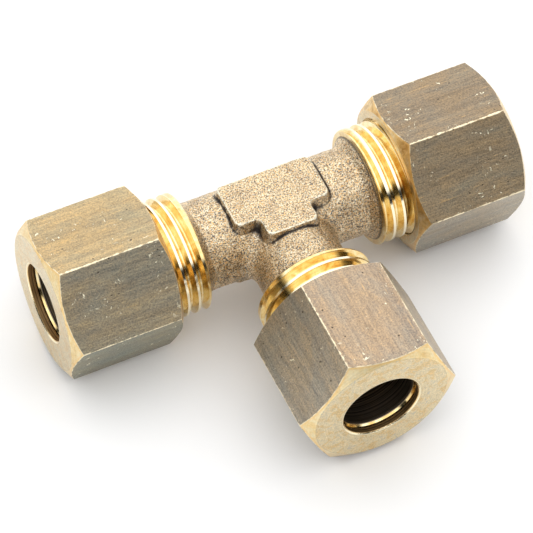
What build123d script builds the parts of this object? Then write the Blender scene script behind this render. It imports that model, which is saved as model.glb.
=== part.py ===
"""Equal tee compression fitting in brass for 10 mm tube, with M16 x 1.5 nuts.

The origin is where the three port axes cross. X runs along the straight run, the
branch points along -Y, and +Z is up. Units are millimetres.

Each port has an outward axis. Along it come the waterway, the tube socket, the
coned mouth and the threaded stem of the body, then the olive, then the nut that
screws over the stem. The nuts are drawn run on by hand, one turn short of tight.
"""

import os
from math import atan, cos, degrees, radians, tan

from build123d import *

os.makedirs("parts", exist_ok=True)

# Driving dimensions
TUBE_DIAMETER = 10.0
WATERWAY_DIAMETER = 8.0
THREAD_DIAMETER = 16.0
THREAD_PITCH = 1.5
HEX_ACROSS_FLATS = 19.0
NUT_LENGTH = 15.5
PORT_END = 22.0  # port face, from the crossing of the axes
TUBE_STOP = 15.0  # bottom of the tube socket, from the crossing of the axes

# Fits
SOCKET_RADIUS = TUBE_DIAMETER / 2 + 0.05
NUT_HOLE_RADIUS = TUBE_DIAMETER / 2 + 0.2
THREAD_SIDE_GAP = 0.12  # along the axis, on each flank between nut and stem
SEAT_GAP = 0.1  # along the axis, between the olive and the cone it rests on

# Thread form: 60 degree flanks about the basic pitch line
FLANK_SLOPE = tan(radians(30))
PITCH_RADIUS = THREAD_DIAMETER / 2 - 0.3248 * THREAD_PITCH
STEM_CREST = THREAD_DIAMETER / 2 - 0.12
STEM_ROOT = STEM_CREST - 0.85
NUT_BORE = STEM_ROOT + 0.16
NUT_ROOT = STEM_CREST + 0.14
CUTTER_OVERLAP = 0.08

# Forged body
RUN_NECK_RADIUS = 5.95
BRANCH_NECK_RADIUS = 5.85
CROTCH_RADIUS = 1.8
FLARE_START = 11.1
FLARE_RADIUS = 7.1
STEM_START = 12.2  # where the turned stem begins
COLLAR_CHAMFER = 0.15
THREAD_START = 12.85
STEM_TIP_RADIUS = STEM_ROOT - 0.08
STEM_CHAMFER = STEM_CREST - STEM_TIP_RADIUS
MOUTH_RADIUS = 6.2
MOUTH_SLOPE = tan(radians(30))
MOUTH_START = PORT_END - (MOUTH_RADIUS - SOCKET_RADIUS) / MOUTH_SLOPE

# T-shaped pad, raised on the top and on the underside, a little off centre as forged
PAD_TOP = 6.4
PAD_BASE = 3.6
PAD_DRAFT = 10
PAD_LEFT = -6.8
PAD_RIGHT = 6.3
PAD_BACK = 3.3
PAD_FRONT = -3.4
TONGUE_LEFT = -3.6
TONGUE_RIGHT = 3.35
TONGUE_FRONT = -6.35
PAD_CORNER = 0.8
PAD_EDGE = 0.2

# Nut, measured from its inner face
NUT_HOLE_LAND = 0.95
NUT_HOLE_CHAMFER = 0.2
NUT_END_RADIUS = 9.1
NUT_END_SLOPE = tan(radians(30))
HEX_CORNER = 0.25
NUT_ENTRY_RADIUS = NUT_ROOT + 0.15
NUT_RELIEF_START = 8.3
NUT_RELIEF_END = 9.5
NUT_SEAT_END = NUT_LENGTH - NUT_HOLE_LAND
NUT_SEAT_START = NUT_SEAT_END - (NUT_BORE - NUT_HOLE_RADIUS)

# Olive
OLIVE_RADIUS = 6.35
OLIVE_REAR_EDGE = 5.34
OLIVE_FRONT_EDGE = 5.42
OLIVE_LEAD_RADIUS = SOCKET_RADIUS + 0.2
OLIVE_LEAD_LENGTH = 0.4
OLIVE_REAR = NUT_SEAT_END - (OLIVE_REAR_EDGE - NUT_HOLE_RADIUS) - SEAT_GAP
NIPPED_FRONT = MOUTH_START + (OLIVE_FRONT_EDGE - SOCKET_RADIUS) / MOUTH_SLOPE + SEAT_GAP

# Inner faces of the nuts, from the crossing of the axes
NUT_FACE = 16.4
LEFT_NUT_FACE = 16.75

# Outward axis, nut's inner face, and the angles from +Z, turning right-handed about
# the axis, of a hexagon corner and of the start of the thread
PORTS = {
    "left": ((-1, 0, 0), LEFT_NUT_FACE, 40.1, 196),
    "right": ((1, 0, 0), NUT_FACE, 17.9, 72),
    "branch": ((0, -1, 0), NUT_FACE, 24.5, 264),
}
NECK_RADII = {
    "left": RUN_NECK_RADIUS,
    "right": RUN_NECK_RADIUS,
    "branch": BRANCH_NECK_RADIUS,
}
OLIVE_LENGTH = NUT_FACE + OLIVE_REAR - THREAD_PITCH - NIPPED_FRONT


def port_plane(axis, distance=0.0, angle=0.0):
    """Plane across a port, looking out along it, with its x turned from +Z."""
    across = Vector(0, 0, 1).rotate(Axis((0, 0, 0), axis), angle)
    return Plane(origin=Vector(axis) * distance, x_dir=across, z_dir=axis)


def profile_plane(axis):
    """Plane that holds a port's axis: x is the radius, y the distance outwards."""
    return Plane(origin=(0, 0, 0), x_dir=(0, 0, 1), z_dir=Vector(0, 0, 1).cross(Vector(axis)))


def turned(axis, points):
    """Solid turned about a port's axis from (radius, distance) points."""
    with BuildPart() as turning:
        with BuildSketch(profile_plane(axis)):
            with BuildLine():
                Polyline(*points, close=True)
            make_face()
        revolve(axis=Axis((0, 0, 0), axis))
    return turning.part


def groove_half_width(radius):
    """Half the width of the stem's thread groove at a radius."""
    return THREAD_PITCH / 4 + (radius - PITCH_RADIUS) * FLANK_SLOPE


def nut_groove_half_width(radius):
    """Half the width of the nut's groove, which clears the stem's ridge."""
    return THREAD_PITCH / 2 - groove_half_width(radius) + THREAD_SIDE_GAP


def helical_cutter(length, inner, outer, half_width, rise=0.0):
    """Right-hand helical cutter that climbs +Z from the X axis, and closes in by rise."""
    lean = atan(rise / length)
    with BuildPart() as cutter:
        with BuildLine() as path:
            Helix(THREAD_PITCH / cos(lean), length, inner + rise, cone_angle=-degrees(lean))
        with BuildSketch(Plane(origin=path.line @ 0, x_dir=(1, 0, 0), z_dir=path.line % 0)):
            with BuildLine():
                Polyline(
                    (0, -half_width(inner)),
                    (outer - inner, -half_width(outer)),
                    (outer - inner, half_width(outer)),
                    (0, half_width(inner)),
                    close=True,
                )
            make_face()
        sweep(path=path.line, is_frenet=True)
    return cutter.part


def thread_turns(axis, start, end, start_angle, inner, outer, half_width):
    """Cutters of one turn each that together cut a thread from start to past end."""
    turn = helical_cutter(THREAD_PITCH, inner, outer, half_width)
    turns = []
    while start < end:
        turns.append(port_plane(axis, start, start_angle) * turn)
        start += THREAD_PITCH
    return turns


def stem_blank(axis, neck_radius):
    """Forged flare and turned stem of one port, before it is bored and threaded."""
    outline = [
        (0, FLARE_START - 1),
        (neck_radius, FLARE_START - 1),
        (neck_radius, FLARE_START),
        (FLARE_RADIUS, STEM_START),
        (STEM_CREST - COLLAR_CHAMFER, STEM_START),
        (STEM_CREST, STEM_START + COLLAR_CHAMFER),
        (STEM_CREST, PORT_END - STEM_CHAMFER),
        (STEM_TIP_RADIUS, PORT_END),
        (0, PORT_END),
    ]
    return turned(axis, outline)


def stem_thread(axis, start_angle):
    """Cutters for one stem's thread, led in by half a turn that fades out at the flare."""
    inner = STEM_ROOT
    outer = STEM_CREST + CUTTER_OVERLAP
    end = PORT_END + THREAD_PITCH / 2
    fade = helical_cutter(THREAD_PITCH / 2, inner, outer, groove_half_width, rise=outer - inner)
    fade_plane = port_plane(axis, THREAD_START - THREAD_PITCH / 2, start_angle - 180)
    turns = thread_turns(axis, THREAD_START, end, start_angle, inner, outer, groove_half_width)
    return [fade_plane * fade, *turns]


def socket(axis):
    """Cutter for the tube socket and the coned mouth of one port."""
    outline = [
        (0, TUBE_STOP),
        (SOCKET_RADIUS, TUBE_STOP),
        (SOCKET_RADIUS, MOUTH_START),
        (MOUTH_RADIUS, PORT_END),
        (MOUTH_RADIUS, PORT_END + 1),
        (0, PORT_END + 1),
    ]
    return turned(axis, outline)


def make_stem(axis, neck_radius, thread_angle):
    """One port of the body, from its flare to its face, bored and threaded."""
    with BuildPart() as stem:
        add(stem_blank(axis, neck_radius))
        for turn in stem_thread(axis, thread_angle):
            add(turn, mode=Mode.SUBTRACT)
        add(socket(axis), mode=Mode.SUBTRACT)
    return stem.part


def pad_outline():
    """T-shaped outline of the pad, closed, anticlockwise from the tongue's front left."""
    return [
        (TONGUE_LEFT, TONGUE_FRONT),
        (TONGUE_RIGHT, TONGUE_FRONT),
        (TONGUE_RIGHT, PAD_FRONT),
        (PAD_RIGHT, PAD_FRONT),
        (PAD_RIGHT, PAD_BACK),
        (PAD_LEFT, PAD_BACK),
        (PAD_LEFT, PAD_FRONT),
        (TONGUE_LEFT, PAD_FRONT),
    ]


def pad(side):
    """Raised pad on the top (side 1) or the underside (side -1) of the body."""
    with BuildPart() as block:
        with BuildSketch(Plane.XY.offset(side * PAD_TOP)) as top:
            with BuildLine():
                Polyline(*pad_outline(), close=True)
            make_face()
            fillet(top.vertices(), PAD_CORNER)
        extrude(amount=-side * (PAD_TOP - PAD_BASE), taper=-PAD_DRAFT)
        rim = block.faces().sort_by(Axis.Z)[-1 if side > 0 else 0].edges()
        fillet(rim, PAD_EDGE)
    return block.part


def make_tee_body():
    """Forged body with three necks, two pads, three threaded stems and the waterways."""
    with BuildPart() as tee_body:
        with BuildSketch(port_plane((1, 0, 0), -FLARE_START)):
            Circle(RUN_NECK_RADIUS)
        extrude(amount=2 * FLARE_START)
        with BuildSketch(port_plane((0, -1, 0))):
            Circle(BRANCH_NECK_RADIUS)
        extrude(amount=FLARE_START)
        crotch = [e for e in tee_body.edges() if e.geom_type == GeomType.BSPLINE]
        fillet(crotch, CROTCH_RADIUS)
        add(pad(1))
        add(pad(-1))
        for name, (axis, _, _, thread_angle) in PORTS.items():
            add(make_stem(axis, NECK_RADII[name], thread_angle))
        with BuildSketch(Plane(origin=(-TUBE_STOP, 0, 0), x_dir=(0, -1, 0), z_dir=(1, 0, 0))):
            Circle(WATERWAY_DIAMETER / 2)
        extrude(amount=2 * TUBE_STOP, mode=Mode.SUBTRACT)
        with BuildSketch(port_plane((0, -1, 0))):
            Circle(WATERWAY_DIAMETER / 2)
        extrude(amount=TUBE_STOP, mode=Mode.SUBTRACT)
    return tee_body


def nut_envelope(axis, face):
    """Double cone that chamfers the hexagon's corners at both ends of a nut."""
    reach = HEX_ACROSS_FLATS
    rise = (reach - NUT_END_RADIUS) * NUT_END_SLOPE
    outline = [
        (0, face),
        (NUT_END_RADIUS, face),
        (reach, face + rise),
        (reach, face + NUT_LENGTH - rise),
        (NUT_END_RADIUS, face + NUT_LENGTH),
        (0, face + NUT_LENGTH),
    ]
    return turned(axis, outline)


def nut_cavity(axis, face):
    """Cutter for a nut's entry, thread bore, relief, olive seat and tube hole."""
    outline = [
        (0, -1),
        (NUT_ENTRY_RADIUS, -1),
        (NUT_ENTRY_RADIUS, 0),
        (NUT_BORE, NUT_ENTRY_RADIUS - NUT_BORE),
        (NUT_BORE, NUT_RELIEF_START),
        (NUT_ROOT, NUT_RELIEF_START + (NUT_ROOT - NUT_BORE) * FLANK_SLOPE),
        (NUT_ROOT, NUT_RELIEF_END),
        (NUT_BORE, NUT_RELIEF_END + (NUT_ROOT - NUT_BORE) * FLANK_SLOPE),
        (NUT_BORE, NUT_SEAT_START),
        (NUT_HOLE_RADIUS, NUT_SEAT_END),
        (NUT_HOLE_RADIUS, NUT_LENGTH - NUT_HOLE_CHAMFER),
        (NUT_HOLE_RADIUS + NUT_HOLE_CHAMFER, NUT_LENGTH),
        (NUT_HOLE_RADIUS + NUT_HOLE_CHAMFER, NUT_LENGTH + 1),
        (0, NUT_LENGTH + 1),
    ]
    return turned(axis, [(radius, face + height) for radius, height in outline])


def nut_thread(axis, face, start_angle):
    """Cutters for a nut's thread, in step with the ridge of the stem inside it."""
    start = THREAD_START + THREAD_PITCH / 2
    while start + THREAD_PITCH < face - THREAD_PITCH / 2:
        start += THREAD_PITCH
    end = face + NUT_RELIEF_START
    inner = NUT_BORE - CUTTER_OVERLAP
    return thread_turns(axis, start, end, start_angle, inner, NUT_ROOT, nut_groove_half_width)


def make_nut(axis, face, hex_angle, thread_angle):
    """Hexagon nut with its cavity facing the body."""
    with BuildPart() as nut:
        with BuildSketch(port_plane(axis, face, hex_angle)) as hexagon:
            RegularPolygon(HEX_ACROSS_FLATS / 2, 6, major_radius=False)
            fillet(hexagon.vertices(), HEX_CORNER)
        extrude(amount=NUT_LENGTH)
        add(nut_envelope(axis, face), mode=Mode.INTERSECT)
        add(nut_cavity(axis, face), mode=Mode.SUBTRACT)
        for turn in nut_thread(axis, face, thread_angle):
            add(turn, mode=Mode.SUBTRACT)
    return nut


def make_olive(axis, face):
    """Olive held in a nut's seat, with its long cone towards the body."""
    rear = face + OLIVE_REAR
    front = rear - OLIVE_LENGTH
    outline = [
        (SOCKET_RADIUS, front),
        (OLIVE_FRONT_EDGE, front),
        (OLIVE_RADIUS, front + (OLIVE_RADIUS - OLIVE_FRONT_EDGE) / MOUTH_SLOPE),
        (OLIVE_RADIUS, rear - (OLIVE_RADIUS - OLIVE_REAR_EDGE)),
        (OLIVE_REAR_EDGE, rear),
        (OLIVE_LEAD_RADIUS, rear),
        (SOCKET_RADIUS, rear - OLIVE_LEAD_LENGTH),
    ]
    with BuildPart() as olive:
        with BuildSketch(profile_plane(axis)):
            with BuildLine():
                Polyline(*outline, close=True)
            make_face()
        revolve(axis=Axis((0, 0, 0), axis))
    return olive


tee_body = make_tee_body()
tee_body.part.label = "tee_body"
export_step(tee_body.part, "parts/tee_body.step")

for port, (axis, face, hex_angle, thread_angle) in PORTS.items():
    nut = make_nut(axis, face, hex_angle, thread_angle)
    nut.part.label = f"{port}_nut"
    export_step(nut.part, f"parts/{port}_nut.step")

    olive = make_olive(axis, face)
    olive.part.label = f"{port}_olive"
    export_step(olive.part, f"parts/{port}_olive.step")
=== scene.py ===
import math

import bmesh
import bpy
from mathutils import Matrix, Vector, noise


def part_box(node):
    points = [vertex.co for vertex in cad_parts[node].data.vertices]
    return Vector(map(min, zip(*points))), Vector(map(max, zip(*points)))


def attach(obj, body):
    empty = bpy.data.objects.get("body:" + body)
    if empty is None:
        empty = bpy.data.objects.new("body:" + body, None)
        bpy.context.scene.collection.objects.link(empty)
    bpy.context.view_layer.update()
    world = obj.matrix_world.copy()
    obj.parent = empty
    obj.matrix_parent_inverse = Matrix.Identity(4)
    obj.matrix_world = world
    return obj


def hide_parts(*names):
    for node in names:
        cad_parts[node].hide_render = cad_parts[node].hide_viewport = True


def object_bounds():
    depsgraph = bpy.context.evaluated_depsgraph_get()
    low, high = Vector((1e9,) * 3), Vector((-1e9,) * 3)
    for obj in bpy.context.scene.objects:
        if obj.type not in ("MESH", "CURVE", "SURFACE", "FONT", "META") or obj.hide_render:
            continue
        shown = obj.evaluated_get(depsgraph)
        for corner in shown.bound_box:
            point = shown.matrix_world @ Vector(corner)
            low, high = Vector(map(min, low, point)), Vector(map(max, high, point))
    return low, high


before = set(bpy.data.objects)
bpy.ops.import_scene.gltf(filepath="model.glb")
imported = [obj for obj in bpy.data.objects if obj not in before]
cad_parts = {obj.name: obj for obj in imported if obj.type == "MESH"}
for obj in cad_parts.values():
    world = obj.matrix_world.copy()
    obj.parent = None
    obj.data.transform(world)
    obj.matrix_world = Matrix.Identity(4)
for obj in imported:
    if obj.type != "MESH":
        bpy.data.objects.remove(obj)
cad_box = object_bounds()

MM = 0.001

# Sizes of the fitting that materials and meshes share, in millimetres
HEX_ACROSS_FLATS = 19.0
FLAT_DISTANCE = HEX_ACROSS_FLATS / 2
NUT_END_RADIUS = 9.1  # rim of a nut's end face, where the chamfer starts
NUT_END_SLOPE = math.tan(math.radians(30))
NUT_HOLE_RADIUS = 5.2
STEM_START = 12.2
THREAD_START = 12.85
THREAD_CREST = 7.88
OLIVE_BORE_RADIUS = 5.05
WALL_INSIDE = 5.3  # every inner wall of the body is nearer to its axis than this
WATERWAY_WALL = 4.6  # the waterway's wall is nearer to its axis than this

AXES = {
    "left": Vector((-1, 0, 0)),
    "right": Vector((1, 0, 0)),
    "branch": Vector((0, -1, 0)),
}
HEX_ANGLES = {"left": 40.1, "right": 17.9, "branch": 24.5}
HEX_STEP = 60  # degrees from one corner of a hexagon to the next

# Tint on each nut's six flats, partly tarnish and partly painted light and shade, each flat
# darkened and tinted to follow how light falls on it; the first at half a step past the hexagon's
# first corner
FLAT_TARNISH_AND_SHADE = {
    "left": (
        (0.74, 0.77, 0.76), (0.78, 0.79, 0.74), (0.66, 0.72, 0.75),
        (0.56, 0.67, 0.74), (0.71, 0.76, 0.81), (0.86, 0.83, 0.73),
    ),
    "right": (
        (0.60, 0.59, 0.58), (0.74, 0.81, 0.95), (0.66, 0.66, 0.68),
        (0.58, 0.60, 0.64), (0.64, 0.65, 0.66), (0.55, 0.54, 0.56),
    ),
    "branch": (
        (0.92, 0.98, 1.12), (0.80, 0.86, 0.92), (0.90, 0.90, 0.88),
        (0.84, 0.92, 1.02), (0.84, 0.84, 0.86), (0.80, 0.77, 0.82),
    ),
}

# Colours
UNTINTED = (1.0, 1.0, 1.0)
ORANGE_GOLD = (0.76, 0.49, 0.17)
GOLD = (0.92, 0.71, 0.34)
PALE_GOLD = (0.98, 0.87, 0.58)
CREST_HIGHLIGHT_GOLD = (0.98, 0.88, 0.64)
LIP_GOLD = (0.97, 0.87, 0.62)
RIM_ORANGE = (0.86, 0.55, 0.20)
SCORED = (0.88, 0.84, 0.76)
STREAK_ORANGE = (0.70, 0.43, 0.17)
BLAST_ORANGE = (0.82, 0.50, 0.20)
BLAST_BLUE = (0.08, 0.11, 0.14)
RIM_WEAR_AND_HIGHLIGHT = (1.0, 0.95, 0.78)
HOLLOW_SHADE_BROWN = (0.10, 0.085, 0.075)
CREASE_SHADOW_BLACK = (0.03, 0.026, 0.026)
JOINT_SHADE_BROWN = (0.06, 0.045, 0.035)
FACE_TAN = (0.66, 0.49, 0.25)
FACE_GREY = (0.50, 0.47, 0.42)
DING_BRIGHT = (1.0, 0.93, 0.70)
PIT_DARK = (0.10, 0.08, 0.06)
WORN_BRIGHT = (0.90, 0.78, 0.54)


def reach(node, axis):
    """Where a node starts and ends along an axis from the origin, in millimetres."""
    low, high = (Vector(corner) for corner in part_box(node))
    ends = sorted((low.dot(axis) / MM, high.dot(axis) / MM))
    return ends[0], ends[1]


def across(axis, angle):
    """Unit vector across a port's axis, turned from +Z right-handed about the axis."""
    return Matrix.Rotation(math.radians(angle), 3, axis) @ Vector((0, 0, 1))


# ---------------------------------------------------------------- node helpers

class Nodes:
    """Short calls for building a node tree."""

    def __init__(self, tree):
        self.tree = tree

    def add(self, kind, **settings):
        node = self.tree.nodes.new(kind)
        for key, value in settings.items():
            setattr(node, key, value)
        return node

    def link(self, source, target):
        self.tree.links.new(source, target)

    def put(self, target, value):
        """Links a socket, or sets a plain number, vector or colour."""
        if isinstance(value, bpy.types.NodeSocket):
            self.link(value, target)
        elif isinstance(value, tuple) and len(value) == 3 and target.type == "RGBA":
            target.default_value = (*value, 1)
        else:
            target.default_value = value

    def math(self, operation, a, b=0.0):
        node = self.add("ShaderNodeMath", operation=operation)
        self.put(node.inputs[0], a)
        self.put(node.inputs[1], b)
        return node.outputs[0]

    def both(self, a, b):
        """Product of two masks."""
        return self.math("MULTIPLY", a, b)

    def rest(self, mask):
        """What a mask leaves out."""
        return self.math("SUBTRACT", 1.0, mask)

    def total(self, operation, *values):
        """One operation, such as MAXIMUM, over any number of values."""
        result = values[0]
        for value in values[1:]:
            result = self.math(operation, result, value)
        return result

    def place(self):
        """Position on the piece, in millimetres."""
        return self.scaled(self.add("ShaderNodeTexCoord").outputs["Object"], (1 / MM,) * 3)

    def scaled(self, vector, scale):
        node = self.add("ShaderNodeVectorMath", operation="MULTIPLY")
        self.put(node.inputs[0], vector)
        self.put(node.inputs[1], tuple(scale))
        return node.outputs["Vector"]

    def along(self, vector, direction):
        node = self.add("ShaderNodeVectorMath", operation="DOT_PRODUCT")
        self.put(node.inputs[0], vector)
        self.put(node.inputs[1], tuple(direction))
        return node.outputs["Value"]

    def size(self, vector):
        node = self.add("ShaderNodeVectorMath", operation="LENGTH")
        self.put(node.inputs[0], vector)
        return node.outputs["Value"]

    def triple(self, x, y, z):
        node = self.add("ShaderNodeCombineXYZ")
        for socket, value in zip(node.inputs, (x, y, z)):
            self.put(socket, value)
        return node.outputs["Vector"]

    def noise(self, vector, scale, detail=2.0, roughness=0.5, distortion=0.0):
        node = self.add("ShaderNodeTexNoise")
        self.put(node.inputs["Vector"], vector)
        node.inputs["Scale"].default_value = scale
        node.inputs["Detail"].default_value = detail
        node.inputs["Roughness"].default_value = roughness
        node.inputs["Distortion"].default_value = distortion
        return node.outputs["Fac"]

    def cells(self, vector, scale):
        """Voronoi cells: distance from a cell's point, and the cell's random number."""
        node = self.add("ShaderNodeTexVoronoi")
        self.put(node.inputs["Vector"], vector)
        node.inputs["Scale"].default_value = scale
        parts = self.add("ShaderNodeSeparateColor")
        self.link(node.outputs["Color"], parts.inputs["Color"])
        return node.outputs["Distance"], parts.outputs["Red"]

    def attribute(self, name):
        """A number stored on the mesh."""
        return self.add("ShaderNodeAttribute", attribute_name=name).outputs["Fac"]

    def ramp(self, value, *stops):
        """Colour ramp from (position, colour) stops."""
        node = self.add("ShaderNodeValToRGB")
        elements = node.color_ramp.elements
        while len(elements) < len(stops):
            elements.new(0.5)
        for element, (position, colour) in zip(elements, stops):
            element.position = position
            element.color = (*colour, 1)
        self.put(node.inputs["Fac"], value)
        return node.outputs["Color"]

    def span(self, value, low, high, to_low=0.0, to_high=1.0):
        """Value mapped smoothly and clamped from one range to another."""
        node = self.add("ShaderNodeMapRange", clamp=True, interpolation_type="SMOOTHSTEP")
        self.put(node.inputs["Value"], value)
        node.inputs["From Min"].default_value = low
        node.inputs["From Max"].default_value = high
        node.inputs["To Min"].default_value = to_low
        node.inputs["To Max"].default_value = to_high
        return node.outputs["Result"]

    def mix(self, factor, a, b, blend="MIX"):
        """Colour between a and b."""
        node = self.add("ShaderNodeMix", data_type="RGBA", blend_type=blend)
        self.put(node.inputs["Factor"], factor)
        self.put(node.inputs[6], a)
        self.put(node.inputs[7], b)
        return node.outputs[2]

    def tinted(self, colour, tint, strength=1.0):
        return self.mix(strength, colour, tint, "MULTIPLY")

    def blend(self, factor, a, b):
        """Plain number between a and b."""
        node = self.add("ShaderNodeMix", data_type="FLOAT")
        self.put(node.inputs["Factor"], factor)
        self.put(node.inputs[2], a)
        self.put(node.inputs[3], b)
        return node.outputs[0]

    def bump(self, height, depth, normal=None):
        """Bump from a 0 to 1 height, depth millimetres deep."""
        node = self.add("ShaderNodeBump")
        node.inputs["Distance"].default_value = depth * MM
        node.inputs["Strength"].default_value = 1.0
        self.put(node.inputs["Height"], height)
        if normal is not None:
            self.link(normal, node.inputs["Normal"])
        return node.outputs["Normal"]


class Material(Nodes):
    """A new material, its nodes ending in one principled shader."""

    def __init__(self, name):
        self.material = bpy.data.materials.new(name)
        self.material.use_nodes = True
        super().__init__(self.material.node_tree)
        self.tree.nodes.clear()
        self.shader = self.add("ShaderNodeBsdfPrincipled")
        output = self.add("ShaderNodeOutputMaterial")
        self.link(self.shader.outputs["BSDF"], output.inputs["Surface"])

    def metal(self, colour, roughness, normal):
        """Sets the shader to bare metal, and gives the material."""
        self.put(self.shader.inputs["Base Color"], colour)
        self.put(self.shader.inputs["Roughness"], roughness)
        self.put(self.shader.inputs["Metallic"], 1.0)
        self.put(self.shader.inputs["Normal"], normal)
        return self.material


# ---------------------------------------------------------------- turned brass

def turning_lines(n, distance, scale):
    """Fine lines left by a lathe tool, as noise along one distance only."""
    return n.noise(n.triple(distance, 0.0, 0.0), scale, detail=4, roughness=0.65)


def machined_brass(n, where, distance):
    """Colour, roughness and height of bright turned brass."""
    lines = turning_lines(n, distance, 7.0)
    stain = n.noise(where, 0.55, detail=4, roughness=0.6, distortion=0.6)
    colour = n.ramp(stain, (0.3, ORANGE_GOLD), (0.48, GOLD), (0.66, PALE_GOLD))
    colour = n.mix(n.span(lines, 0.3, 0.7), n.tinted(colour, SCORED), colour)
    roughness = n.blend(n.noise(where, 1.6, detail=3), 0.06, 0.2)
    return colour, roughness, lines


def port_radii(n, where):
    """Distances from the run's axis and from the branch's axis."""
    run_radius = n.size(n.scaled(where, (0, 1, 1)))
    branch_radius = n.size(n.scaled(where, (1, 0, 1)))
    return run_radius, branch_radius


# ---------------------------------------------------------------- the body's material

def blasted_grain(n, grain, speck):
    """Colour of shot-blasted metal, from dark pits to pale crests, with coloured specks."""
    colour = n.ramp(
        grain,
        (0.34, (0.10, 0.08, 0.065)),
        (0.42, (0.42, 0.31, 0.19)),
        (0.50, (0.70, 0.54, 0.34)),
        (0.60, (0.92, 0.80, 0.56)),
        (0.70, (1.0, 0.97, 0.86)),
    )
    colour = n.mix(n.span(speck, 0.58, 0.66), colour, BLAST_ORANGE)
    return n.mix(n.span(speck, 0.41, 0.33), colour, BLAST_BLUE)


def forged_skin(n, where, near_pad):
    """Colour, roughness and height of shot-blasted forged brass, with painted shade in its hollows
    and creases and a painted highlight, partly wear, along its rims.
    """
    grain = n.noise(where, 5.0, detail=2, roughness=0.6)
    speck = n.noise(where, 5.8, detail=1, roughness=0.5)
    tarnish = n.noise(where, 0.5, detail=5, roughness=0.7)
    shade = n.ramp(tarnish, (0.36, (0.76, 0.74, 0.74)), (0.54, UNTINTED))
    colour = n.tinted(blasted_grain(n, grain, speck), shade)

    # Painted shade: dark brown in the hollows near the pad, darker the deeper the hollow
    hollow = n.span(n.attribute("hollow"), 0.02, 0.12, 0.0, 0.75)
    colour = n.mix(n.both(hollow, near_pad), colour, HOLLOW_SHADE_BROWN)
    edge = n.attribute("edge")
    # Painted highlight, partly wear: cream on the convex rims, where the rounded edges catch the
    # light
    broken = n.span(grain, 0.36, 0.5, 0.4, 1.0)
    colour = n.mix(n.both(n.span(edge, 0.05, 0.13), broken), colour, RIM_WEAR_AND_HIGHLIGHT)
    # Painted shadow: a black line along the creases at the feet of the pad
    crease = n.span(edge, -0.02, -0.08, 0.0, 0.95)
    colour = n.mix(n.both(crease, near_pad), colour, CREASE_SHADOW_BLACK)
    return colour, n.blend(speck, 0.34, 0.5), grain


def inner_walls(n, where, branch_distance):
    """Mask of the waterways, sockets and mouths."""
    run_radius, branch_radius = port_radii(n, where)
    in_run = n.span(run_radius, WALL_INSIDE + 0.4, WALL_INSIDE)
    in_branch = n.span(branch_radius, WALL_INSIDE + 0.4, WALL_INSIDE)
    in_branch = n.both(in_branch, n.span(branch_distance, -0.1, 0.1))
    return n.math("MAXIMUM", in_run, in_branch)


def thread_crests(n, where, farthest):
    """Mask of the threads' outer tips."""
    radius = n.total("MINIMUM", *port_radii(n, where))
    at_crest = n.span(radius, THREAD_CREST - 0.04, THREAD_CREST - 0.01)
    return n.both(at_crest, n.span(farthest, THREAD_START, THREAD_START + 0.3))


def forged_brass():
    """The body: forged outside, turned bright from each stem's collar outwards, painted dark with
    shade within.
    """
    n = Material("forged_brass")
    where = n.place()
    distances = {port: n.along(where, axis) for port, axis in AXES.items()}
    farthest = n.total("MAXIMUM", *distances.values())
    turned = n.span(farthest, STEM_START - 0.03, STEM_START + 0.01)

    bright, bright_rough, lines = machined_brass(n, where, farthest)
    # Painted highlight: pale gold along the thread crests
    bright = n.mix(thread_crests(n, where, farthest), bright, CREST_HIGHLIGHT_GOLD)
    skin, skin_rough, grain = forged_skin(n, where, near_pad=n.span(farthest, 10.2, 9.6))
    # Painted shade: the forged skin darkens to brown just before each stem's collar
    joint_shade = n.span(farthest, STEM_START - 0.3, STEM_START - 0.1, 0.0, 0.7)
    skin = n.mix(joint_shade, skin, JOINT_SHADE_BROWN)
    colour = n.mix(turned, skin, bright)
    roughness = n.blend(turned, skin_rough, bright_rough)

    # Painted shade: the waterways, sockets and mouths are near black
    bore_shade = n.ramp(
        n.noise(where, 0.8, detail=3),
        (0.35, (0.03, 0.024, 0.018)),
        (0.7, (0.12, 0.085, 0.055)),
    )
    inside = inner_walls(n, where, distances["branch"])
    colour = n.mix(inside, colour, bore_shade)
    roughness = n.blend(inside, roughness, 0.5)

    pitted = n.bump(n.both(grain, n.rest(turned)), 0.11)
    scored = n.bump(n.both(lines, turned), 0.008, pitted)
    return n.metal(colour, roughness, scored)


# ---------------------------------------------------------------- the nuts' material

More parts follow.
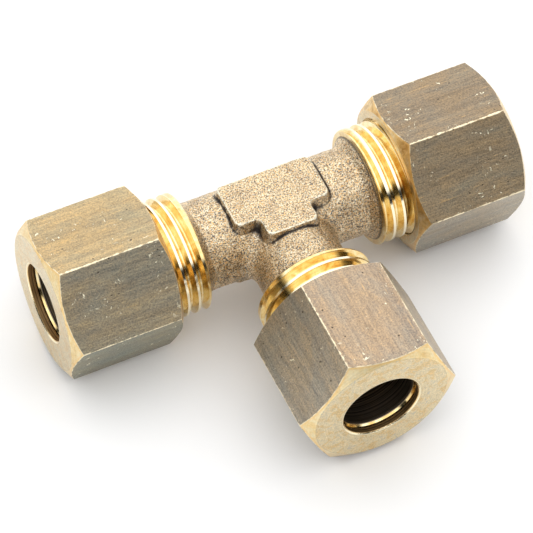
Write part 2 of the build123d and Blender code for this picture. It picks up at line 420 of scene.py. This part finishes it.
class NutZones:
    """Distances and masks that tell a nut's flats, corners, chamfers, ends and inside apart."""

    def __init__(self, n, where, port):
        axis = AXES[port]
        face, end = reach(f"{port}_nut", axis)
        self.height = n.math("SUBTRACT", n.along(where, axis), face)
        far_height = n.math("SUBTRACT", end - face, self.height)
        self.near_end = n.math("MINIMUM", self.height, far_height)
        self.radius = n.size(n.scaled(where, tuple(1 - abs(value) for value in axis)))
        sides = []
        for pair in range(3):
            normal = across(axis, HEX_ANGLES[port] + HEX_STEP * (pair + 0.5))
            sides.append(n.math("ABSOLUTE", n.along(where, normal)))
        self.across_flat = n.total("MAXIMUM", *sides)
        self.from_corner = n.total("MINIMUM", *sides)
        cone = n.math("MULTIPLY", self.near_end, 1 / NUT_END_SLOPE)
        cone = n.math("ADD", cone, NUT_END_RADIUS)
        self.from_chamfer = n.math("SUBTRACT", cone, self.radius)

        self.flat = n.span(self.across_flat, FLAT_DISTANCE - 0.12, FLAT_DISTANCE - 0.04)
        inner = n.span(self.radius, NUT_END_RADIUS - 0.6, NUT_END_RADIUS - 0.9)
        self.inside = n.both(inner, n.span(self.near_end, 0.02, 0.08))
        self.on_cone = n.span(self.near_end, 0.02, 0.06)
        self.hole = n.span(self.radius, NUT_HOLE_RADIUS + 0.06, NUT_HOLE_RADIUS + 0.02)
        near_hole = n.span(self.radius, NUT_HOLE_RADIUS + 0.28, NUT_HOLE_RADIUS + 0.2)
        self.lip = n.both(near_hole, n.span(self.near_end, 0.14, 0.08))


def stretched(n, where, axis, factor):
    """Position squeezed along the bar, so that what is drawn there is long."""
    return n.scaled(where, tuple(factor if abs(value) > 0.5 else 1.0 for value in axis))


def banded(n, where, axis):
    """Tint in broad bands along the bar."""
    spread = tuple(0.00245 if abs(value) > 0.5 else 0.5 for value in axis)
    band = n.noise(n.scaled(where, spread), 1.3, detail=3, roughness=0.6)
    return n.ramp(band, (0.36, (0.88, 0.87, 0.87)), (0.6, (1.11, 1.08, 1.02)))


def drawn_flats(n, where, port, drawn, grained):
    """Colour of the flats: tarnish, bands, a tint for each side that is partly tarnish and partly
    painted light and shade, lines, grain and streaks.
    """
    axis = AXES[port]
    patch = n.noise(
        stretched(n, where, axis, 0.45), 0.3, detail=5, roughness=0.65, distortion=0.5
    )
    colour = n.ramp(
        patch,
        (0.30, (0.44, 0.402, 0.312)),
        (0.44, (0.485, 0.413, 0.30)),
        (0.56, (0.525, 0.422, 0.284)),
        (0.70, (0.565, 0.437, 0.27)),
    )
    colour = n.tinted(colour, banded(n, where, axis))
    # Painted light and shade, partly tarnish: each flat is darkened and tinted one by one,
    # following how light falls on it
    for side, tint in enumerate(FLAT_TARNISH_AND_SHADE[port]):
        normal = across(axis, HEX_ANGLES[port] + HEX_STEP * (side + 0.5))
        distance = n.along(where, normal)
        on_side = n.span(distance, FLAT_DISTANCE - 0.06, FLAT_DISTANCE - 0.02)
        colour = n.mix(on_side, colour, n.tinted(colour, tint))
    lined = n.ramp(drawn, (0.3, (0.78, 0.77, 0.76)), (0.5, UNTINTED), (0.7, (1.22, 1.19, 1.12)))
    colour = n.tinted(n.tinted(colour, lined), grained)
    return n.mix(n.span(drawn, 0.63, 0.69, 0.0, 0.5), colour, STREAK_ORANGE)


def knocks(n, where):
    """Masks of small dings in clusters, and of a few pits."""
    knock = n.noise(where, 1.6, detail=4, roughness=0.62, distortion=0.6)
    cluster = n.noise(where, 0.24, detail=2)
    ding = n.both(n.span(knock, 0.625, 0.655), n.span(cluster, 0.5, 0.6))
    distance, chance = n.cells(where, 1.1)
    pit = n.both(n.span(distance, 0.17, 0.1), n.span(chance, 0.8, 0.84))
    return ding, pit


def turned_ends(n, where, zones, rings, grained, gold):
    """Colour of the end faces and the chamfers, browned at the thread's end."""
    colour = n.ramp(
        rings,
        (0.3, (0.52, 0.43, 0.28)),
        (0.5, (0.68, 0.58, 0.38)),
        (0.7, (0.82, 0.72, 0.50)),
    )
    stain = n.noise(where, 0.6, detail=6, roughness=0.75, distortion=0.8)
    colour = n.mix(n.span(stain, 0.48, 0.60), colour, FACE_TAN)
    colour = n.mix(n.span(stain, 0.42, 0.34), colour, FACE_GREY)
    colour = n.tinted(colour, grained, 0.6)

    browned = n.ramp(stain, (0.36, (0.52, 0.40, 0.30)), (0.56, (0.84, 0.76, 0.68)))
    thread_end = n.span(zones.height, 4.0, 2.0)
    cone = n.mix(thread_end, n.mix(0.55, colour, gold), n.tinted(gold, browned))
    at_rim = n.span(zones.across_flat, FLAT_DISTANCE - 0.45, FLAT_DISTANCE - 0.12, 0.0, 0.55)
    cone = n.mix(at_rim, cone, RIM_ORANGE)
    return n.mix(zones.on_cone, colour, cone)


def worn_edges(n, where, zones):
    """Mask of the rubbed metal along the corners and the chamfers' rims."""
    rub = n.noise(where, 1.1, detail=5, roughness=0.7)
    corner = n.math("SUBTRACT", n.span(rub, 0.25, 0.75, 0.26, 0.0), zones.from_corner)
    rim = n.math("SUBTRACT", n.span(rub, 0.25, 0.75, 0.16, -0.04), zones.from_chamfer)
    worn = n.math("MAXIMUM", n.span(corner, 0.0, 0.12), n.span(rim, 0.0, 0.08))
    return n.both(worn, zones.flat)


def bar_brass(port):
    """One nut: drawn flats, worn corners, turned chamfers and faces, golden threads."""
    n = Material(f"bar_brass_{port}")
    where = n.place()
    zones = NutZones(n, where, port)
    drawn = n.noise(stretched(n, where, AXES[port], 0.07), 4.0, detail=5, roughness=0.7)
    grain = n.noise(where, 4.6, detail=2, roughness=0.7)
    grained = n.ramp(grain, (0.32, (0.68, 0.68, 0.70)), (0.5, UNTINTED), (0.68, (1.28, 1.2, 1.08)))
    ding, pit = knocks(n, where)
    rings = turning_lines(n, zones.radius, 6.0)
    gold, gold_rough, _ = machined_brass(n, where, zones.radius)

    colour = drawn_flats(n, where, port, drawn, grained)
    colour = n.mix(ding, colour, DING_BRIGHT)
    colour = n.mix(pit, colour, PIT_DARK)
    colour = n.mix(zones.flat, turned_ends(n, where, zones, rings, grained, gold), colour)
    roughness = n.blend(zones.flat, 0.3, n.blend(drawn, 0.32, 0.5))

    colour = n.mix(zones.inside, colour, gold)
    roughness = n.blend(zones.inside, roughness, gold_rough)
    land_lines = turning_lines(n, zones.height, 5.0)
    land = n.ramp(land_lines, (0.40, (0.10, 0.06, 0.035)), (0.60, (0.78, 0.50, 0.22)))
    colour = n.mix(zones.hole, colour, land)
    roughness = n.blend(zones.hole, roughness, 0.42)
    colour = n.mix(zones.lip, colour, LIP_GOLD)

    worn = worn_edges(n, where, zones)
    colour = n.mix(worn, colour, WORN_BRIGHT)
    roughness = n.blend(worn, roughness, 0.28)

    dents = n.bump(n.math("SUBTRACT", grain, n.math("MAXIMUM", ding, pit)), 0.03)
    drawn_lines = n.bump(n.both(drawn, zones.flat), 0.02, dents)
    ring_lines = n.bump(n.both(rings, n.rest(zones.flat)), 0.012, drawn_lines)
    return n.metal(colour, roughness, ring_lines)


# ---------------------------------------------------------------- the olives' material

def olive_brass():
    """The olives: bright outside, and painted dark with shade in the bore."""
    n = Material("olive_brass")
    where = n.place()
    radius = n.total("MINIMUM", *port_radii(n, where))
    colour, roughness, lines = machined_brass(n, where, radius)
    bore = n.span(radius, OLIVE_BORE_RADIUS + 0.1, OLIVE_BORE_RADIUS + 0.03)
    distance = n.total("MAXIMUM", *(n.along(where, axis) for axis in AXES.values()))
    bore_lines = turning_lines(n, distance, 4.0)
    # Painted shade: the bore is dark, with lighter turning lines
    dark = n.ramp(bore_lines, (0.42, (0.06, 0.048, 0.038)), (0.64, (0.46, 0.37, 0.27)))
    colour = n.mix(bore, colour, dark)
    roughness = n.blend(bore, roughness, 0.42)
    return n.metal(colour, roughness, n.bump(lines, 0.006))


def paint(node, material):
    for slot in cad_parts[node].material_slots:
        slot.material = material


# ---------------------------------------------------------------- the body's mesh

FORGED_END = STEM_START - 0.1  # where the forged skin's mesh meets a turned stem's
STEM_CUT = STEM_START - 0.01
RING_TOLERANCE = 0.01  # how far a ring's vertices may lie from their plane
SKIN_CELL = 0.18  # edge of the skin's mesh cells
SKIN_FADE = 0.3  # the grain fades out over this length before a stem
SKIN_SOFTENING = 2  # rounds of smoothing that round the forging's edges
HOLLOW_SOFTENING = 30  # rounds that tell how far a point lies below the skin around it
LUMP_SIZE, LUMP_HEIGHT = 1.1, 0.05
GRAIN_SIZE, GRAIN_HEIGHT = 0.45, 0.05
GRAIN_SHIFT = Vector((7, 3, 5))  # keeps the grain's pattern apart from the lumps'
SHARP_ANGLE = 40
WELD_DISTANCE = 1e-4


def cut(shape, axis, distance, keep_outer):
    """Cuts a bmesh across a port at a distance, and keeps the outer or the inner side."""
    bmesh.ops.bisect_plane(
        shape,
        geom=shape.verts[:] + shape.edges[:] + shape.faces[:],
        plane_co=axis * distance * MM,
        plane_no=axis,
        clear_outer=not keep_outer,
        clear_inner=keep_outer,
    )


def in_bore(point):
    """Whether a point of the body, in millimetres, is on the wall of a waterway."""
    if math.hypot(point.y, point.z) < WATERWAY_WALL:
        return True
    return point.y < 0 and math.hypot(point.x, point.z) < WATERWAY_WALL


def bend(vert):
    """How sharply the surface turns at a vertex: above 0 on an edge, below 0 in a crease."""
    turns = []
    for edge in vert.link_edges:
        step = edge.other_vert(vert).co - vert.co
        turns.append(-step.normalized().dot(vert.normal))
    return sum(turns) / len(turns)


def smooth(shape, verts, rounds):
    every_way = {"use_axis_x": True, "use_axis_y": True, "use_axis_z": True}
    for _ in range(rounds):
        bmesh.ops.smooth_vert(shape, verts=verts, factor=0.5, **every_way)


def voxel_shell(source):
    """A bmesh of the body in small even cells, open where its stems start."""
    holder = bpy.data.objects.new("forging", source.data.copy())
    bpy.context.scene.collection.objects.link(holder)
    remesh = holder.modifiers.new("cells", "REMESH")
    remesh.mode = "VOXEL"
    remesh.voxel_size = SKIN_CELL * MM
    scene_graph = bpy.context.evaluated_depsgraph_get()
    cells = bpy.data.meshes.new_from_object(holder.evaluated_get(scene_graph))
    bpy.data.objects.remove(holder)
    shell = bmesh.new()
    shell.from_mesh(cells)
    bpy.data.meshes.remove(cells)
    for axis in AXES.values():
        cut(shell, axis, FORGED_END, keep_outer=False)
    return shell


def store_hollows(shell, inner, layer):
    """Stores how far each vertex lies below the skin around it, in millimetres."""
    skin = [vert.co.copy() for vert in inner]
    normals = [vert.normal.copy() for vert in inner]
    smooth(shell, inner, HOLLOW_SOFTENING)
    for vert, place, normal in zip(inner, skin, normals):
        vert[layer] = (vert.co - place).dot(normal) / MM
        vert.co = place


def raise_grain(inner):
    """Lumps and grain on the outside of the forging, fading out before the stems."""
    for vert in inner:
        point = vert.co / MM
        if in_bore(point):
            continue
        margin = min(FORGED_END - point.dot(axis) for axis in AXES.values())
        fade = min(max(margin / SKIN_FADE, 0.0), 1.0)
        lump = noise.noise(point / LUMP_SIZE) * LUMP_HEIGHT
        grain = noise.noise(point / GRAIN_SIZE + GRAIN_SHIFT) * GRAIN_HEIGHT
        vert.co += vert.normal * (lump + grain) * fade * MM


def forged_shell(source):
    """The forging between its stems: edges softened, and a blasted surface raised on it."""
    shell = voxel_shell(source)
    edges = shell.verts.layers.float.new("edge")
    hollows = shell.verts.layers.float.new("hollow")
    inner = [vert for vert in shell.verts if not vert.is_boundary]
    smooth(shell, inner, SKIN_SOFTENING)
    shell.normal_update()
    store_hollows(shell, inner, hollows)
    for vert in inner:
        vert[edges] = bend(vert)
    raise_grain(inner)
    return shell


def turned_stem(source, axis):
    """A port's turned stem, as in the CAD, each face corner's normal kept with it."""
    copy = source.data.copy()
    kept = copy.attributes.new("kept_normal", "FLOAT_VECTOR", "CORNER")
    for corner, normal in zip(kept.data, source.data.corner_normals):
        corner.vector = normal.vector
    stem = bmesh.new()
    stem.from_mesh(copy)
    bpy.data.meshes.remove(copy)
    bmesh.ops.remove_doubles(stem, verts=stem.verts, dist=WELD_DISTANCE * MM)
    cut(stem, axis, STEM_CUT, keep_outer=True)
    piece = bpy.data.meshes.new("stem")
    stem.to_mesh(piece)
    stem.free()
    return piece


def boundary_rings(shape, axis, distance):
    """Outer and inner rings of boundary vertices in the plane across a port, with their angles."""
    side, other = across(axis, 0), across(axis, 90)
    rings = {"outer": [], "inner": []}
    for vert in shape.verts:
        if not vert.is_boundary or abs(vert.co.dot(axis) / MM - distance) > RING_TOLERANCE:
            continue
        x, y = vert.co.dot(side) / MM, vert.co.dot(other) / MM
        which = "outer" if math.hypot(x, y) > WATERWAY_WALL else "inner"
        rings[which].append((math.atan2(y, x), vert))
    return {which: sorted(ring, key=lambda entry: entry[0]) for which, ring in rings.items()}


def zip_rings(shape, first, second):
    """Closes the gap between two rings of (angle, vertex) with triangles."""
    angles_first = [angle for angle, _ in first] + [first[0][0] + 2 * math.pi]
    angles_second = [angle for angle, _ in second] + [second[0][0] + 2 * math.pi]
    a = b = 0
    while a < len(first) or b < len(second):
        here, there = first[a % len(first)][1], second[b % len(second)][1]
        if a < len(first) and (b == len(second) or angles_first[a + 1] <= angles_second[b + 1]):
            a += 1
            shape.faces.new((here, first[a % len(first)][1], there))
        else:
            b += 1
            shape.faces.new((here, second[b % len(second)][1], there))


def restore_normals(mesh):
    """Shades the stems with the CAD's own normals, and the rest with the mesh's."""
    mesh.set_sharp_from_angle(angle=math.radians(SHARP_ANGLE))
    normals = []
    for kept, found in zip(mesh.attributes["kept_normal"].data, mesh.corner_normals):
        from_cad = kept.vector.length > 0.5
        normals.append(kept.vector.copy() if from_cad else found.vector.copy())
    mesh.normals_split_custom_set(normals)
    mesh.attributes.remove(mesh.attributes["kept_normal"])


def body_mesh(source):
    """The whole body in one closed mesh: the forged shell joined to the three turned stems."""
    shape = forged_shell(source)
    shape.loops.layers.float_vector.new("kept_normal")
    for axis in AXES.values():
        piece = turned_stem(source, axis)
        shape.from_mesh(piece)
        bpy.data.meshes.remove(piece)
        shell_rings = boundary_rings(shape, axis, FORGED_END)
        stem_rings = boundary_rings(shape, axis, STEM_CUT)
        for which in ("outer", "inner"):
            zip_rings(shape, shell_rings[which], stem_rings[which])
    bmesh.ops.recalc_face_normals(shape, faces=shape.faces)
    for face in shape.faces:
        face.smooth = True
    mesh = bpy.data.meshes.new("tee_casting")
    shape.to_mesh(mesh)
    shape.free()
    restore_normals(mesh)
    return mesh


def make_body(material):
    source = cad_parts["tee_body"]
    body = bpy.data.objects.new("tee_casting", body_mesh(source))
    bpy.context.scene.collection.objects.link(body)
    body.data.materials.clear()
    body.data.materials.append(material)
    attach(body, "tee")
    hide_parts("tee_body")


olive_material = olive_brass()
make_body(forged_brass())
for port in AXES:
    paint(f"{port}_nut", bar_brass(port))
    paint(f"{port}_olive", olive_material)


# ---------------------------------------------------------------- stage, light and camera

FLOOR_HALF = 0.9  # metres
FLOOR_COLOUR = (0.92, 0.92, 0.92)
# Brightness of the tent at each height, 0 at the horizon and 1 overhead
TENT_LEVELS = ((0.04, 0.8), (0.10, 0.01), (0.40, 0.02), (0.56, 1.0))
TENT_STRENGTH = 1.6
BACKDROP_DIRECTION = (0.447, 0.894, 0)

CAMERA_TARGET = Vector((-2.81, -4.17, -3.60)) * MM
CAMERA_DISTANCE = 482.17 * MM
CAMERA_AZIMUTH = 243.44  # degrees from +X, towards +Y
CAMERA_ELEVATION = 54.21
CAMERA_ROLL = 1.81
CAMERA_LENS = 252.54
CAMERA_SENSOR = 36


def make_floor():
    low = cad_box[0][2]
    half = FLOOR_HALF
    mesh = bpy.data.meshes.new("floor")
    corners = [(-half, -half, low), (half, -half, low), (half, half, low), (-half, half, low)]
    mesh.from_pydata(corners, [], [(0, 1, 2, 3)])
    floor = bpy.data.objects.new("floor", mesh)
    bpy.context.scene.collection.objects.link(floor)
    n = Material("floor")
    n.put(n.shader.inputs["Base Color"], FLOOR_COLOUR)
    n.put(n.shader.inputs["Roughness"], 0.9)
    mesh.materials.append(n.material)


def make_world():
    """White studio tent with a dark band above the floor and a bright backdrop behind."""
    world = bpy.data.worlds.new("studio")
    world.use_nodes = True
    n = Nodes(world.node_tree)
    direction = n.add("ShaderNodeTexCoord").outputs["Generated"]
    height = n.along(direction, (0, 0, 1))
    tent = n.ramp(height, *((place, (level,) * 3) for place, level in TENT_LEVELS))
    backdrop = n.span(n.along(direction, BACKDROP_DIRECTION), 0.6, 0.85)
    background = world.node_tree.nodes["Background"]
    n.put(background.inputs["Color"], n.mix(1.0, tent, backdrop, "LIGHTEN"))
    n.put(background.inputs["Strength"], TENT_STRENGTH)
    bpy.context.scene.world = world


def make_camera():
    """Camera above the front left, looking along its own -Z at the target."""
    turn = (
        Matrix.Rotation(math.radians(CAMERA_AZIMUTH + 90), 4, "Z")
        @ Matrix.Rotation(math.radians(90 - CAMERA_ELEVATION), 4, "X")
        @ Matrix.Rotation(math.radians(CAMERA_ROLL), 4, "Z")
    )
    back = Matrix.Translation((0, 0, CAMERA_DISTANCE))
    data = bpy.data.cameras.new("camera")
    data.sensor_width = CAMERA_SENSOR
    data.lens = CAMERA_LENS
    data.clip_start = 0.01
    camera = bpy.data.objects.new("camera", data)
    camera.matrix_world = Matrix.Translation(CAMERA_TARGET) @ turn @ back
    bpy.context.scene.collection.objects.link(camera)
    bpy.context.scene.camera = camera


make_floor()
make_world()
make_camera()
bpy.context.scene.view_settings.view_transform = "Standard"
